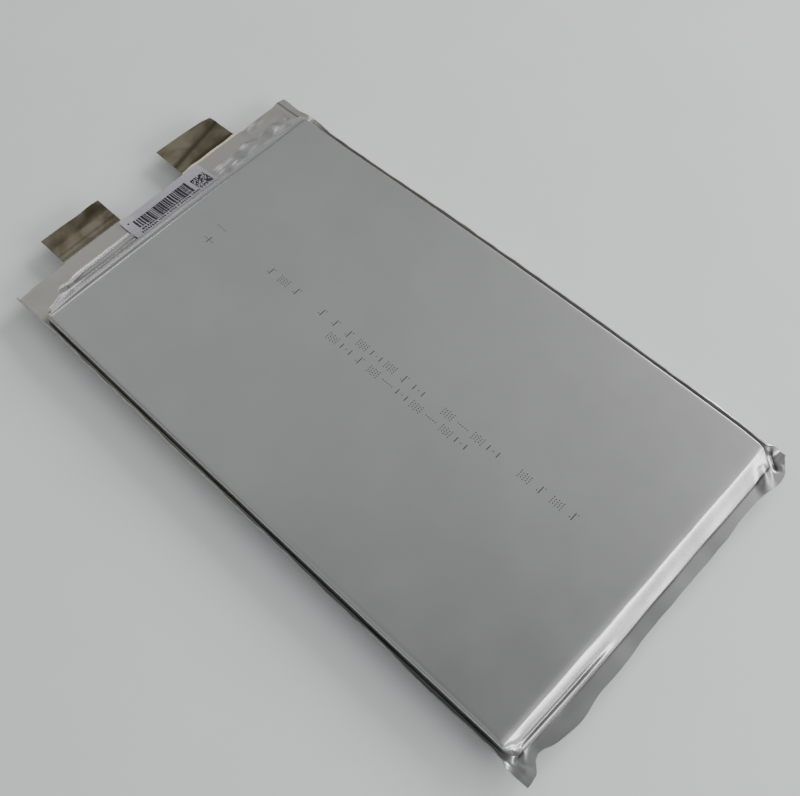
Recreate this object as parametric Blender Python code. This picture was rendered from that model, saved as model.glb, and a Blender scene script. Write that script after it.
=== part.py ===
"""Pouch battery cell, lying on its large face with both tabs at +Y.

The row frame has its origin under the middle of the cell's box, on the surface that the
cell lies on. The pieces are modelled from the middle of the cell's face, under one empty
that moves them into that frame. Everything is in metres.
"""

import math

import bmesh
import bpy

MM = 0.001

# The two cups of laminate film and the flange where they are welded together.
FACE_HALF_WIDTH = 66.0 * MM
FACE_HALF_LENGTH = 110.0 * MM
THICKNESS = 11.0 * MM
SEAL_Z = THICKNESS / 2
FILM = 0.15 * MM
SEAL_GAP = 0.075 * MM  # from the seal's middle to the film's inner face
CUP_CORNER_RADIUS = 3.0 * MM
FLANGE_CORNER_RADIUS = 0.8 * MM
TAB_END_SEAL_EDGE = 129.0 * MM
BOTTOM_SEAL_EDGE = 120.0 * MM
FOLD_OUT = 2.0 * MM  # how far the folded side flanges stand out from the cup
FOLD_TOP_Z = 9.2 * MM  # free edge of the folded side flanges
FOLD_CLEAR_OF_CORNER = 5.0 * MM  # the side flanges lie flat for this length at each corner
FOLD_RUN_UP = 9.0 * MM  # and then turn up over this length
NEAR_TIP_FLARE = 2.5 * MM  # the crumpled ear at the near bottom corner

# The cup's slope from its face down to the seal. Each step is (place, share of the height from
# the seal to the face): at the long sides the place is measured out from the face's half width,
# and at the two ends from the middle of the face.
SIDE_SLOPE = (
    (-1.0 * MM, 1.0),
    (-0.2 * MM, 0.94),
    (0.0 * MM, 0.5),
    (0.1 * MM, 0.08),
    (0.45 * MM, 0.0),
)
TAB_END_SLOPE = (
    (109.0 * MM, 1.0),
    (110.3 * MM, 0.92),
    (114.0 * MM, 0.61),
    (119.0 * MM, 0.18),
    (122.4 * MM, 0.0),
)
BOTTOM_SLOPE = (
    (109.0 * MM, 1.0),
    (110.4 * MM, 0.92),
    (113.0 * MM, 0.5),
    (115.3 * MM, 0.06),
    (115.8 * MM, 0.0),
)
SLOPE_BULGE = (0.0, 0.0, 0.0, 0.2, 1.0)  # each step's share of the rise over the tabs

# The flange beyond the slope. Each step is (how far inside the fold's outside, height above the
# seal at the long sides if the free edge isn't lower, place at the tab end, place at the bottom).
FLANGE_STEPS = (
    (0.5 * MM, 0.05 * MM, 125.5 * MM, 118.0 * MM),
    (0.08 * MM, 0.5 * MM, 127.3 * MM, 119.0 * MM),
    (0.0 * MM, FOLD_TOP_Z, TAB_END_SEAL_EDGE, BOTTOM_SEAL_EDGE),
)

# The tabs, and the sealant film between them and the pouch.
TAB_WIDTH = 28.0 * MM
TAB_THICKNESS = 0.2 * MM
POSITIVE_TAB_X = -31.7 * MM
NEGATIVE_TAB_X = 28.3 * MM
TAB_INNER_END = 111.6 * MM
BEND_Y = 130.6 * MM  # the line at which a tab bends, just clear of the sealant film
BEND_CLEARANCE = 0.3 * MM
POSITIVE_TIP = 144.8 * MM
NEGATIVE_TIP = 146.3 * MM
ALUMINIUM_STUB_END = 139.0 * MM
LEAD_THICKNESS = 0.15 * MM
LEAD_START = 131.0 * MM
SEALANT_WIDTH = 34.0 * MM
SEALANT_THICKNESS = 0.1 * MM
SEALANT_START = 120.5 * MM
SEALANT_END = 130.2 * MM
TAB_CLEARANCE = 0.03 * MM  # between a tab and what lies on it
BULGE = 0.23 * MM  # how far each film rises over a tab
BULGE_RAMP = 1.2 * MM

# The electrode stack. Each sheet stands for a few real sheets.
CATHODES = 8
ANODES = CATHODES + 1
CATHODE_THICKNESS = 0.55 * MM
ANODE_THICKNESS = 0.42 * MM
CATHODE_HALF_WIDTH = 63.2 * MM
ANODE_HALF_WIDTH = 64.0 * MM
CATHODE_Y = (-106.4 * MM, 103.4 * MM)
ANODE_Y = (-107.0 * MM, 104.0 * MM)
SEPARATOR = 0.05 * MM
SEPARATOR_Y = (-107.6 * MM, 104.6 * MM)
SEPARATOR_HALF_WIDTH = 64.3 * MM
STACK_CLEARANCE = 0.37 * MM  # from the pouch's outside to the stack, with the film between
STACK_Z = (STACK_CLEARANCE, THICKNESS - STACK_CLEARANCE)

# The uncoated foil tails, gathered under the tabs and welded to them.
TAIL_WIDTH = 24.0 * MM
TAIL_THICKNESS = 0.05 * MM
TAIL_PITCH = 0.08 * MM
TAIL_STRAIGHT_END = 105.6 * MM
TAIL_GATHERED = 111.2 * MM
TAIL_END = 115.5 * MM

# Adhesive tapes and the label.
TAPE = 0.06 * MM
TAPE_CLEARANCE = 0.07 * MM
STACK_TAPE_WIDTH = 16.0 * MM
STACK_TAPE_REACH = 10.0 * MM
SIDE_TAPE_GAP = 0.55 * MM  # clears the separator's turns
BOTTOM_TAPE_GAP = 0.3 * MM
SIDE_TAPE_Y = (-60.0 * MM, 60.0 * MM)
BOTTOM_TAPE_X = (-34.0 * MM, 34.0 * MM)
WELD_TAPE_HALF_WIDTH = 15.5 * MM
WELD_TAPE_Y = (111.8 * MM, 118.0 * MM)
LABEL_X = (-19.5 * MM, 21.5 * MM)
LABEL_Y = (114.6 * MM, 128.4 * MM)
LABEL_THICKNESS = 0.08 * MM
LABEL_CLEARANCE = 0.3 * MM

# Where the middle of the face lies, so that the origin is under the middle of the whole box.
FACE_CENTRE_Y = -(NEGATIVE_TIP - BOTTOM_SEAL_EDGE - NEAR_TIP_FLARE) / 2

SHARP_EDGE = math.radians(25)


def clear_scene():
    for obj in list(bpy.data.objects):
        bpy.data.objects.remove(obj, do_unlink=True)


def make_material(name, colour, roughness, metallic):
    material = bpy.data.materials.new(name)
    material.use_nodes = True
    shader = material.node_tree.nodes["Principled BSDF"]
    shader.inputs["Base Color"].default_value = (*colour, 1.0)
    shader.inputs["Roughness"].default_value = roughness
    shader.inputs["Metallic"].default_value = metallic
    material.diffuse_color = (*colour, 1.0)
    return material


def make_empty(name, place, parent=None):
    empty = bpy.data.objects.new(name, None)
    bpy.context.collection.objects.link(empty)
    empty.location = place
    empty.parent = parent
    return empty


def finish(name, mesh_builder, material, parent):
    """Writes a bmesh to its own object, with its faces pointing out."""
    bmesh.ops.recalc_face_normals(mesh_builder, faces=mesh_builder.faces)
    mesh = bpy.data.meshes.new(name)
    mesh_builder.to_mesh(mesh)
    mesh_builder.free()
    mesh.materials.append(material)
    obj = bpy.data.objects.new(name, mesh)
    bpy.context.collection.objects.link(obj)
    obj.parent = parent
    return obj


def solidify(obj, thickness):
    """Gives a sheet its thickness, half to each side."""
    modifier = obj.modifiers.new("thickness", "SOLIDIFY")
    modifier.thickness = thickness
    modifier.offset = 0.0
    modifier.use_even_offset = True


def plate(name, low, high, material, parent):
    """A flat rectangular piece between two corners, given from the parent's origin."""
    builder = bmesh.new()
    bmesh.ops.create_cube(builder, size=1.0)
    for vertex in builder.verts:
        for axis in range(3):
            middle = (low[axis] + high[axis]) / 2
            vertex.co[axis] = middle + vertex.co[axis] * (high[axis] - low[axis])
    return finish(name, builder, material, parent)


def strip(name, path, along, span, thickness, material, parent):
    """A thin bent strip: a path across the strip, run along X or Y over a span."""
    builder = bmesh.new()
    rows = []
    for end in span:
        if along == "X":
            rows.append([builder.verts.new((end, y, z)) for y, z in path])
        else:
            rows.append([builder.verts.new((x, end, z)) for x, z in path])
    for i in range(len(path) - 1):
        builder.faces.new((rows[0][i], rows[0][i + 1], rows[1][i + 1], rows[1][i]))
    obj = finish(name, builder, material, parent)
    solidify(obj, thickness)
    return obj


# ---------------------------------------------------------------- pouch film


def smooth_step(value):
    value = min(max(value, 0.0), 1.0)
    return value * value * (3 - 2 * value)


def bulge_at(x):
    """How much of the full bulge over the tabs the film has at this place across the seal."""
    covered = SEALANT_WIDTH / 2 + BULGE_RAMP / 2
    nearest = min(abs(x - POSITIVE_TAB_X), abs(x - NEGATIVE_TAB_X))
    return smooth_step((covered + BULGE_RAMP - nearest) / BULGE_RAMP)


def film_rings(side):
    """Rings from the cup's face to the flange's free edge, for side +1 (upper) or -1 (lower).

    Each ring is (half width, z at the long sides, y and z at the tab end, y and z at the
    bottom end, share of the bulge over the tabs). A height is the film's middle.
    """
    face = SEAL_Z + side * (SEAL_Z - FILM / 2)
    seal = SEAL_Z + side * (SEAL_GAP + FILM / 2)
    inside_fold = 2 * SEAL_GAP + FILM if side > 0 else 0.0  # the lower film folds round the upper
    fold = FACE_HALF_WIDTH + FOLD_OUT - FILM / 2 - inside_fold

    def height(share):
        return seal + (face - seal) * share

    rings = []
    steps = zip(SIDE_SLOPE, TAB_END_SLOPE, BOTTOM_SLOPE, SLOPE_BULGE)
    for (out, side_share), (tab_y, tab_share), (bottom_y, bottom_share), bulge in steps:
        half = FACE_HALF_WIDTH + out
        tab_z, bottom_z = height(tab_share), height(bottom_share)
        rings.append((half, height(side_share), tab_y, tab_z, -bottom_y, bottom_z, bulge))
    for inside, rise, tab_y, bottom_y in FLANGE_STEPS:
        side_z = min(seal + rise, FOLD_TOP_Z)  # the free edges of the two films end level
        rings.append((fold - inside, side_z, tab_y, seal, -bottom_y, seal, 1.0))
    return rings


SIDE_STATIONS = (0.03, 0.07, 0.12, 0.5, 0.88, 0.93, 0.97)
BOTTOM_STATIONS = (0.09, 0.5, 0.91)
CORNER_STEPS = 4


def end_stations():
    """Places across the tab end where the film starts and ends its rise over a tab."""
    reach = SEALANT_WIDTH / 2 + BULGE_RAMP / 2
    places = []
    for centre in (POSITIVE_TAB_X, NEGATIVE_TAB_X):
        for sign in (-1, 1):
            places.append(centre + sign * reach)
            places.append(centre + sign * (reach + BULGE_RAMP))
    return sorted(places)


def corner_arc(centre_x, centre_y, radius, start):
    """Points of one rounded corner, turning anticlockwise from the start angle in degrees."""
    points = []
    for step in range(CORNER_STEPS + 1):
        angle = math.radians(start + 90 * step / CORNER_STEPS)
        points.append((centre_x + radius * math.cos(angle), centre_y + radius * math.sin(angle)))
    return points


def flange_rise(y, tab_y, bottom_y):
    """0 where the side flange lies flat at a corner, 1 where it is folded up."""
    from_corner = min(tab_y - y, y - bottom_y)
    return smooth_step((from_corner - FOLD_CLEAR_OF_CORNER) / FOLD_RUN_UP)


def ring_points(ring, index, rings, side):
    """The closed outline of one ring, anticlockwise from the bottom of the +X side."""
    half, side_z, tab_y, tab_z, bottom_y, bottom_z, bulge = ring
    seal = SEAL_Z + side * (SEAL_GAP + FILM / 2)
    outward = index / (len(rings) - 1)
    radius = CUP_CORNER_RADIUS + (FLANGE_CORNER_RADIUS - CUP_CORNER_RADIUS) * outward
    flange_share = (index + 1 - len(SIDE_SLOPE)) / len(FLANGE_STEPS)
    on_flange = flange_share > 0
    low, high = bottom_y + radius, tab_y - radius
    outline = []
    for share in SIDE_STATIONS:
        outline.append((half, low + (high - low) * share, "side"))
    outline += [(x, y, "tab corner") for x, y in corner_arc(half - radius, high, radius, 0)]
    for x in reversed(end_stations()):
        outline.append((x, tab_y, "tab end"))
    outline += [(x, y, "tab corner") for x, y in corner_arc(radius - half, high, radius, 90)]
    for share in reversed(SIDE_STATIONS):
        outline.append((-half, low + (high - low) * share, "side"))
    outline += [(x, y, "bottom corner") for x, y in corner_arc(radius - half, low, radius, 180)]
    for share in BOTTOM_STATIONS:
        outline.append((-half + 2 * half * share, bottom_y, "bottom end"))
    outline += [(x, y, "bottom corner") for x, y in corner_arc(half - radius, low, radius, 270)]

    points = []
    for x, y, kind in outline:
        if kind == "side":
            z = side_z
            if on_flange:
                z = seal + (side_z - seal) * flange_rise(y, tab_y, bottom_y)
        elif kind.startswith("tab"):
            z = tab_z + side * BULGE * bulge * bulge_at(x)
        else:
            z = bottom_z
        if on_flange and kind == "bottom corner" and x < 0:
            y -= NEAR_TIP_FLARE * flange_share
        points.append((x, y, z))
    return points


def pouch_film(name, side, material, parent):
    """One cup of laminate film, drawn from a sheet, with its flange all round."""
    builder = bmesh.new()
    rings = film_rings(side)
    loops = []
    for index, ring in enumerate(rings):
        loops.append([builder.verts.new(p) for p in ring_points(ring, index, rings, side)])
    builder.faces.new(loops[0])
    count = len(loops[0])
    for inner, outer in zip(loops, loops[1:]):
        for i in range(count):
            after = (i + 1) % count
            builder.faces.new((inner[i], outer[i], outer[after], inner[after]))
    obj = finish(name, builder, material, parent)
    obj.data.shade_smooth()
    obj.data.set_sharp_from_angle(angle=SHARP_EDGE)
    solidify(obj, FILM)
    return obj


# ---------------------------------------------------------------- electrode stack


def stack_levels():
    """Heights of every layer's middle: (separator runs, anodes, cathodes)."""
    solid = (
        (ANODES + CATHODES + 1) * SEPARATOR
        + ANODES * ANODE_THICKNESS
        + CATHODES * CATHODE_THICKNESS
    )
    gap = (STACK_Z[1] - STACK_Z[0] - solid) / (2 * (ANODES + CATHODES))
    separators, anodes, cathodes = [], [], []
    z = STACK_Z[0]
    for layer in range(ANODES + CATHODES):
        separators.append(z + SEPARATOR / 2)
        z += SEPARATOR + gap
        if layer % 2 == 0:
            anodes.append(z + ANODE_THICKNESS / 2)
            z += ANODE_THICKNESS + gap
        else:
            cathodes.append(z + CATHODE_THICKNESS / 2)
            z += CATHODE_THICKNESS + gap
    separators.append(z + SEPARATOR / 2)
    return separators, anodes, cathodes


def electrode(name, half_width, span, thickness, z, tail_x, tail_z, material, parent):
    """A coated sheet whose bare foil tail bends from its own level to the weld under the tab."""
    builder = bmesh.new()

    def section(x, y, width, height, middle):
        corners = ((-1, -1), (1, -1), (1, 1), (-1, 1))
        return [
            builder.verts.new((x + sx * width / 2, y, middle + sz * height / 2))
            for sx, sz in corners
        ]

    sections = [
        section(0, span[0], 2 * half_width, thickness, z),
        section(0, span[1], 2 * half_width, thickness, z),
        section(tail_x, span[1], TAIL_WIDTH, TAIL_THICKNESS, z),
        section(tail_x, TAIL_STRAIGHT_END, TAIL_WIDTH, TAIL_THICKNESS, z),
        section(tail_x, TAIL_GATHERED, TAIL_WIDTH, TAIL_THICKNESS, tail_z),
        section(tail_x, TAIL_END, TAIL_WIDTH, TAIL_THICKNESS, tail_z),
    ]
    builder.faces.new(sections[0])
    for back, front in zip(sections, sections[1:]):
        for i in range(4):
            builder.faces.new((back[i], back[(i + 1) % 4], front[(i + 1) % 4], front[i]))
    builder.faces.new(sections[-1])
    return finish(name, builder, material, parent)


def gathered_level(index, count):
    """Height of a foil tail in the bundle, the top sheet's tail lying against the tab."""
    top = SEAL_Z - TAB_THICKNESS / 2 - TAB_CLEARANCE - TAIL_THICKNESS / 2
    return top - (count - 1 - index) * TAIL_PITCH


def separator_path(levels):
    """The separator's zigzag, seen along the cell: a run over each sheet, then a turn round it."""
    turn_steps = 4
    path = []
    for run, z in enumerate(levels):
        sign = 1 if run % 2 == 0 else -1
        path.append((-sign * SEPARATOR_HALF_WIDTH, z))
        path.append((sign * SEPARATOR_HALF_WIDTH, z))
        if run == len(levels) - 1:
            break
        radius = (levels[run + 1] - z) / 2
        for step in range(1, turn_steps):
            angle = math.pi * step / turn_steps - math.pi / 2
            x = SEPARATOR_HALF_WIDTH + radius * math.cos(angle)
            path.append((sign * x, z + radius + radius * math.sin(angle)))
    return path


def electrode_stack(parent, copper, lfp, separator_material):
    separators, anodes, cathodes = stack_levels()
    for index, z in enumerate(cathodes):
        electrode(
            f"cathode_sheet_{index + 1}",
            CATHODE_HALF_WIDTH,
            CATHODE_Y,
            CATHODE_THICKNESS,
            z,
            POSITIVE_TAB_X,
            gathered_level(index, CATHODES),
            lfp,
            parent,
        )
    for index, z in enumerate(anodes):
        electrode(
            f"anode_sheet_{index + 1}",
            ANODE_HALF_WIDTH,
            ANODE_Y,
            ANODE_THICKNESS,
            z,
            NEGATIVE_TAB_X,
            gathered_level(index, ANODES),
            copper,
            parent,
        )
    strip(
        "separator_web",
        separator_path(separators),
        "Y",
        SEPARATOR_Y,
        SEPARATOR,
        separator_material,
        parent,
    )


def stack_tapes(parent, material):
    """C-shaped strips of tape that hold the stack's edges together."""
    low = STACK_Z[0] - TAPE_CLEARANCE - TAPE / 2
    high = STACK_Z[1] + TAPE_CLEARANCE + TAPE / 2
    edge = SEPARATOR_HALF_WIDTH + SIDE_TAPE_GAP
    half = STACK_TAPE_WIDTH / 2
    for side, sign in (("near", -1), ("far", 1)):
        reach = sign * (edge - STACK_TAPE_REACH)
        path = ((reach, high), (sign * edge, high), (sign * edge, low), (reach, low))
        for place, y in zip(("rear", "front"), SIDE_TAPE_Y):
            strip(f"stack_tape_{side}_{place}", path, "Y", (y - half, y + half), TAPE, material, parent)
    edge_y = SEPARATOR_Y[0] - BOTTOM_TAPE_GAP
    reach = edge_y + STACK_TAPE_REACH
    path = ((reach, high), (edge_y, high), (edge_y, low), (reach, low))
    for place, x in zip(("near", "far"), BOTTOM_TAPE_X):
        strip(f"stack_tape_bottom_{place}", path, "X", (x - half, x + half), TAPE, material, parent)


# ---------------------------------------------------------------- tabs


def tab_root(name, x, material, parent):
    """The part of a tab that is welded to the foils and sealed into the flange."""
    half, thick = TAB_WIDTH / 2, TAB_THICKNESS / 2
    low = (x - half, TAB_INNER_END, SEAL_Z - thick)
    high = (x + half, BEND_Y - BEND_CLEARANCE, SEAL_Z + thick)
    return plate(name, low, high, material, parent)


def tab_blade(name, end, material, hinge):
    """The free part of a tab, modelled from the hinge line that it bends about."""
    half, thick = TAB_WIDTH / 2, TAB_THICKNESS / 2
    low = (-half, BEND_CLEARANCE, -thick)
    high = (half, end - BEND_Y, thick)
    return plate(name, low, high, material, hinge)


def nickel_lead(name, material, hinge):
    """The nickel strip welded on the aluminium stub, which solders and spot-welds well."""
    half = TAB_WIDTH / 2
    base = TAB_THICKNESS / 2 + TAB_CLEARANCE
    low = (-half, LEAD_START - BEND_Y, base)
    high = (half, POSITIVE_TIP - BEND_Y, base + LEAD_THICKNESS)
    return plate(name, low, high, material, hinge)


def tab_sealant(pole, x, material, parent):
    """The two strips of polypropylene that bond a tab to the films round it."""
    half = SEALANT_WIDTH / 2
    base = TAB_THICKNESS / 2 + TAB_CLEARANCE
    for layer, sign in (("upper", 1), ("lower", -1)):
        edges = sorted((SEAL_Z + sign * base, SEAL_Z + sign * (base + SEALANT_THICKNESS)))
        low = (x - half, SEALANT_START, edges[0])
        high = (x + half, SEALANT_END, edges[1])
        plate(f"{pole}_tab_sealant_{layer}", low, high, material, parent)


def weld_tapes(pole, x, tails, material, parent):
    """Insulating tape above the tab's inner end and below the foils welded to it."""
    above = SEAL_Z + TAB_THICKNESS / 2 + TAPE_CLEARANCE
    below = gathered_level(0, tails) - TAIL_THICKNESS / 2 - TAPE_CLEARANCE
    half = WELD_TAPE_HALF_WIDTH
    for layer, z in (("upper", above), ("lower", below - TAPE)):
        low = (x - half, WELD_TAPE_Y[0], z)
        high = (x + half, WELD_TAPE_Y[1], z + TAPE)
        plate(f"{pole}_weld_tape_{layer}", low, high, material, parent)


def label(material, parent):
    """The printed label, stuck over the tab end's slope and seal."""
    rings = film_rings(1)
    lift = FILM / 2 + LABEL_CLEARANCE + LABEL_THICKNESS / 2

    def film_height(y):
        for inner, outer in zip(rings, rings[1:]):
            if inner[2] <= y <= outer[2]:
                share = (y - inner[2]) / (outer[2] - inner[2])
                start = inner[3] + BULGE * inner[6]
                end = outer[3] + BULGE * outer[6]
                return start + (end - start) * share
        return rings[-1][3]

    bends = [ring[2] for ring in rings if LABEL_Y[0] < ring[2] < LABEL_Y[1]]
    places = [LABEL_Y[0], *bends, LABEL_Y[1]]
    path = [(y, film_height(y) + lift) for y in places]
    strip("barcode_label", path, "X", LABEL_X, LABEL_THICKNESS, material, parent)


def main():
    clear_scene()
    cell = make_empty("cell_frame", (0, FACE_CENTRE_Y, 0))
    laminate = make_material("aluminium_laminate", (0.31, 0.31, 0.305), 0.42, 0.9)
    nickel = make_material("nickel", (0.27, 0.24, 0.19), 0.38, 1.0)
    aluminium = make_material("aluminium", (0.6, 0.6, 0.6), 0.4, 1.0)
    polypropylene = make_material("sealant_polypropylene", (0.72, 0.69, 0.6), 0.45, 0.0)
    lfp = make_material("cathode_coating", (0.03, 0.03, 0.032), 0.8, 0.0)
    graphite = make_material("anode_coating", (0.06, 0.06, 0.062), 0.7, 0.0)
    separator = make_material("separator_film", (0.85, 0.85, 0.84), 0.5, 0.0)
    stack_tape = make_material("stack_tape", (0.02, 0.25, 0.12), 0.4, 0.0)
    weld_tape = make_material("polyimide_tape", (0.5, 0.22, 0.04), 0.35, 0.0)
    paper = make_material("label_paper", (0.62, 0.62, 0.65), 0.6, 0.0)

    pouch_film("upper_pouch_film", 1, laminate, cell)
    pouch_film("lower_pouch_film", -1, laminate, cell)
    electrode_stack(cell, graphite, lfp, separator)
    stack_tapes(cell, stack_tape)
    poles = (
        ("positive", POSITIVE_TAB_X, CATHODES, aluminium),
        ("negative", NEGATIVE_TAB_X, ANODES, nickel),
    )
    for pole, x, tails, metal in poles:
        hinge = make_empty(f"{pole}_bend_line", (x, BEND_Y, SEAL_Z), cell)
        tab_root(f"{pole}_tab_root", x, metal, cell)
        tab_sealant(pole, x, polypropylene, cell)
        weld_tapes(pole, x, tails, weld_tape, cell)
        if pole == "positive":
            tab_blade("positive_tab_stub", ALUMINIUM_STUB_END, metal, hinge)
            nickel_lead("positive_nickel_lead", nickel, hinge)
        else:
            tab_blade("negative_tab_blade", NEGATIVE_TIP, metal, hinge)
    label(paper, cell)


main()
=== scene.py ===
import math

import bmesh
import bpy
import numpy as np
from mathutils import Matrix, Vector


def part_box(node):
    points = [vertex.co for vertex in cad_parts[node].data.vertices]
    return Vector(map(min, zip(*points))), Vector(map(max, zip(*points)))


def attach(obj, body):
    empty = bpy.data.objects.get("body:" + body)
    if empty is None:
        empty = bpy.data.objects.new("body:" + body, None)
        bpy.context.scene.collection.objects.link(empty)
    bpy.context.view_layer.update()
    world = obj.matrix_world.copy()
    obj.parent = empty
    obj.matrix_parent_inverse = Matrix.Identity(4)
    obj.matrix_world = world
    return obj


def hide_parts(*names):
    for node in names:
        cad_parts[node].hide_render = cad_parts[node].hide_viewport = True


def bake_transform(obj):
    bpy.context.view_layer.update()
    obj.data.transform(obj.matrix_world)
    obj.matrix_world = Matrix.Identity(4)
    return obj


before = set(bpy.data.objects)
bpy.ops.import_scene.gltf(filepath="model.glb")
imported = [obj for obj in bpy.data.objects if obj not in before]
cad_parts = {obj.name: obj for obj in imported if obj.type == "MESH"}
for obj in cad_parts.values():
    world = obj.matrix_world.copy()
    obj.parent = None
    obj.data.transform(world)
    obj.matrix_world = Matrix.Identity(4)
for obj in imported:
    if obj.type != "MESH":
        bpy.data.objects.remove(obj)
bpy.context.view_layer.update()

# A pouch battery cell lying flat: two walls of laminate film fused round their edges, two metal
# tabs, their sealant, a label and printed dots.

MM = 0.001

# Sizes are in millimetres. x and y run from the centre of the flat face and z from the floor.
SEAL_REACH = 129.0
FILM_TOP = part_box("upper_pouch_film")[1] / MM
FACE_CENTRE_Y = FILM_TOP.y - SEAL_REACH
CELL_THICKNESS = 11.0
SEAL_Z = CELL_THICKNESS / 2

# One wall of the pouch is 0.15 mm of laminate, and the two walls are fused at the seal.
FILM_THICKNESS = 0.15
SEAL_OFFSET = 0.17
CUP_HEIGHT = SEAL_Z - SEAL_OFFSET

# Across the cell: flat face, rounded shoulder, upright wall, small foot and the folded side flange.
FACE_HALF_WIDTH = 64.6
NEAR_SHOULDER = 1.5
FAR_SHOULDER = 0.5
FOOT_RADIUS = 0.45
FOOT_X = 66.75
SPREAD_FACE = 61.0
FLANGE_WIDTH = 4.3
FOLD_START = 0.5
FOLD_RADIUS = 0.4
FOLD_TURN = 86
NEAR_BOW = 0.35
FAR_BOW = 1.9

# The film's rise over a tab, and the bottom flange's fall for each millimetre outward.
TAB_BULGE = 0.23
FLANGE_DROOP = 0.05

# Along the cell: face, the slope down to the tab seal, the seal strip, and the steep bottom wall.
TAB_SLOPE_TOP = 109.0
TAB_SLOPE_FOOT = 122.4
BOTTOM_WALL_TOP = -110.2
BOTTOM_WALL_FOOT = -115.7
BOTTOM_REACH = -120.2

# The slope at the tab end in profile: millimetres out from the face, and the share of its height.
SLOPE_OUT = (-40, 0.3, 1.2, 2.6, 4.0, 5.6, 7.6, 9.2, 11.2, 13.4, 60)
SLOPE_HIGH = (1, 1, 0.965, 0.94, 0.83, 0.60, 0.33, 0.235, 0.13, 0, 0)

# The bottom flange was trimmed by hand: how far its edge strays, where, and over what width.
TRIM_WAVES = ((-1.9, -44, 9), (-0.9, -24, 11), (0.8, 46, 9), (-1.1, 61.5, 6), (1.5, -58.6, 3.4))

# A groove follows the face's edge at the tab end, and a soft ridge runs along the slope below it.
GROOVE_Y = 110.1
RIDGE_Y = 119.6

# Crumples, each as depth, centre, reach across and along, number of folds, and seed.
BOTTOM_FLANGE_CRUMPLES = ((0.7, (-62, -118), (5, 4), 7, 21), (0.4, (64, -118), (6, 4), 7, 22))
BOTTOM_FAR_CORNER_CRUMPLES = ((0.4, (68, -114), (4, 4), 7, 26),)
SEAL_STRIP_CRUMPLES = ((0.5, (51, 127.5), (6, 2.5), 6, 23),)
TAB_CORNER_CRUMPLES = ((0.35, (-64.5, 124), (5, 6), 7, 24), (0.6, (63, 122), (4, 7), 8, 25))
SLOPE_END_CRUMPLES = ((0.15, (-60, 115), (6, 5), 8, 44), (0.8, (60, 114.5), (4, 4), 9, 45))
WALL_END_CRUMPLES = ((0.7, (-62.5, -112), (4, 3), 8, 53), (0.7, (63, -112.5), (5, 3), 8, 54))
SLOPE_DENTS = (
    (0.6, (28, 114), (6, 4), 10, 41),
    (0.6, (38, 118), (6, 4), 10, 42),
    (0.6, (48, 115), (6, 4), 10, 43),
    (0.6, (57, 118), (6, 4), 10, 46),
)

# Creases and pleats, each as height, start, end and width. A pleat is highest at its start.
SEAL_CREASES = (
    (-0.9, (68.3, -113.2), (64.8, -117.4), 0.9),
    (-0.4, (-62.8, -113.6), (-65.6, -115.0), 0.6),
    (-0.35, (66.5, 130.5), (66.9, 112.5), 0.4),
)
SEAL_PLEATS = (
    (1.9, (59.8, -115.6), (54.6, -121.4), 3.0),
    (0.6, (66.5, -118.2), (70.0, -116.0), 1.8),
    (0.45, (-61.4, -115.2), (-64.6, -117.6), 1.0),
)
SLOPE_CREASES = ((0.9, (-53.5, 120.3), (-51.5, 119.2), 0.9),)
WALL_CREASES = (
    (-0.7, (-61.5, -112.8), (-65.5, -110.8), 0.5),
    (0.5, (-61.3, -113.6), (-64.0, -113.4), 0.4),
)
# Lines of painted shade along the tightest creases, each as strength, start, end and width.
CREASE_SHADE_LINES = (
    (0.7, (66.6, 130.5), (67.0, 112.5), 0.4),
    (0.85, (68.3, -113.2), (64.8, -117.4), 0.8),
)

# How closely the film is divided: steps in millimetres on the face, and counts elsewhere.
FACE_STEP = 1.1
FACE_ROW_STEP = 1.8
SLOPE_ROWS = 44
STRIP_ROWS = 18
WALL_ROWS = 26
BOTTOM_FLANGE_ROWS = 14
SHOULDER_COLUMNS = 6
WALL_COLUMNS = 5
FOOT_COLUMNS = 4
FLANGE_COLUMNS = 16

LABEL_LOW, LABEL_HIGH = (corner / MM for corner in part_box("barcode_label"))
NEGATIVE_LOW, NEGATIVE_HIGH = (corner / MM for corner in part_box("negative_tab_blade"))
POSITIVE_LOW, POSITIVE_HIGH = (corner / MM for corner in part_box("positive_tab_stub"))
LEAD_LOW, LEAD_HIGH = (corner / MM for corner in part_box("positive_nickel_lead"))
ROOT_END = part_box("negative_tab_root")[1].y / MM - FACE_CENTRE_Y
TAB_CENTRES = {
    "positive": (POSITIVE_LOW.x + POSITIVE_HIGH.x) / 2,
    "negative": (NEGATIVE_LOW.x + NEGATIVE_HIGH.x) / 2,
}
TAB_HALF_WIDTH = (NEGATIVE_HIGH.x - NEGATIVE_LOW.x) / 2


# ---------------------------------------------------------------- small helpers


def smooth(low, high, value):
    """0 up to low and 1 from high on, with an even S between; low may be the larger."""
    share = np.clip((value - low) / (high - low), 0, 1)
    return share * share * (3 - 2 * share)


def hill(distance, width):
    """1 at no distance, and soon 0 past the width on either side."""
    return np.exp(-((distance / width) ** 2))


def above_zero(value, rounding):
    """value where it is above zero, else zero, with a rounded corner between."""
    return 0.5 * (value + np.sqrt(value * value + rounding * rounding))


def ramp(share, foot_rounding, top_rounding):
    """A straight climb from 0 to 1 with both its corners rounded."""
    return 1 - above_zero(1 - above_zero(share, foot_rounding), top_rounding)


def ripple(x, y, wavelength, seed, stretch=1.0):
    """Smooth waves from -1 to 1 with no pattern to them; stretch lengthens them along y."""
    dice = np.random.default_rng(seed)
    total = np.zeros_like(x * 1.0)
    count = 7
    for angle, phase, length in zip(
        dice.uniform(0, math.tau, count),
        dice.uniform(0, math.tau, count),
        dice.uniform(0.7, 1.5, count),
    ):
        reach = math.tau / (wavelength * length)
        run = x * math.cos(angle) + y * math.sin(angle) / stretch
        total = total + np.sin(reach * run + phase)
    return total / math.sqrt(count)


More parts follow.
